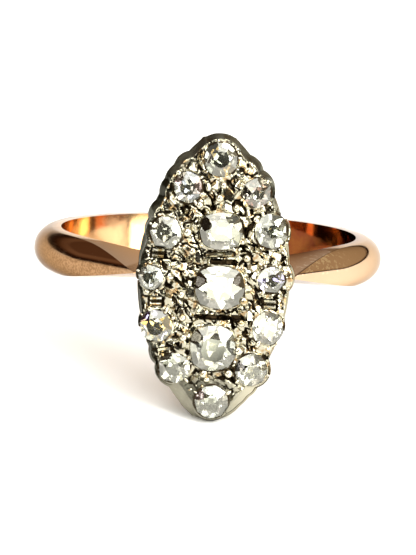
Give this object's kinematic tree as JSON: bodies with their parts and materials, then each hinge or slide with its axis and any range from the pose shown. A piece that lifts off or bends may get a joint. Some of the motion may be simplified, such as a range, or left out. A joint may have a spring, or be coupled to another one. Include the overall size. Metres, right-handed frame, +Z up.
{
  "type": "navette cluster diamond ring",
  "caption": "Finger ring: a rose gold band with bevelled shoulders carries a long scalloped navette head of white metal, grain set with old cut diamonds, lying on its side.",
  "frame": {"origin": "bottom centre of the ring's box as it lies: on the floor, midway between its sides and between the head's front and the back of the band", "axes": "+Z up from the floor; the head faces -Y and leans back, the band reaches towards +Y; +X to the right of the head; the finger hole's axis leans 18.8 degrees from +Z towards +Y"},
  "size_m": [0.0198, 0.0228, 0.0149],
  "materials": {
    "rose_gold": "polished, lightly worn",
    "aged_silver": "aged, bright cut and grained",
    "diamond": "faceted, polished"
  },
  "bodies": {
    "root": {"shank": "rose_gold", "setting": "aged_silver", "stone_top": "diamond", "stone_left_1": "diamond", "stone_right_1": "diamond", "stone_left_2": "diamond", "stone_upper": "diamond", "stone_right_2": "diamond", "stone_left_3": "diamond", "stone_middle": "diamond", "stone_right_3": "diamond", "stone_left_4": "diamond", "stone_right_4": "diamond", "stone_lower": "diamond", "stone_left_5": "diamond", "stone_right_5": "diamond", "stone_bottom": "diamond"}
  },
  "joints": []
}
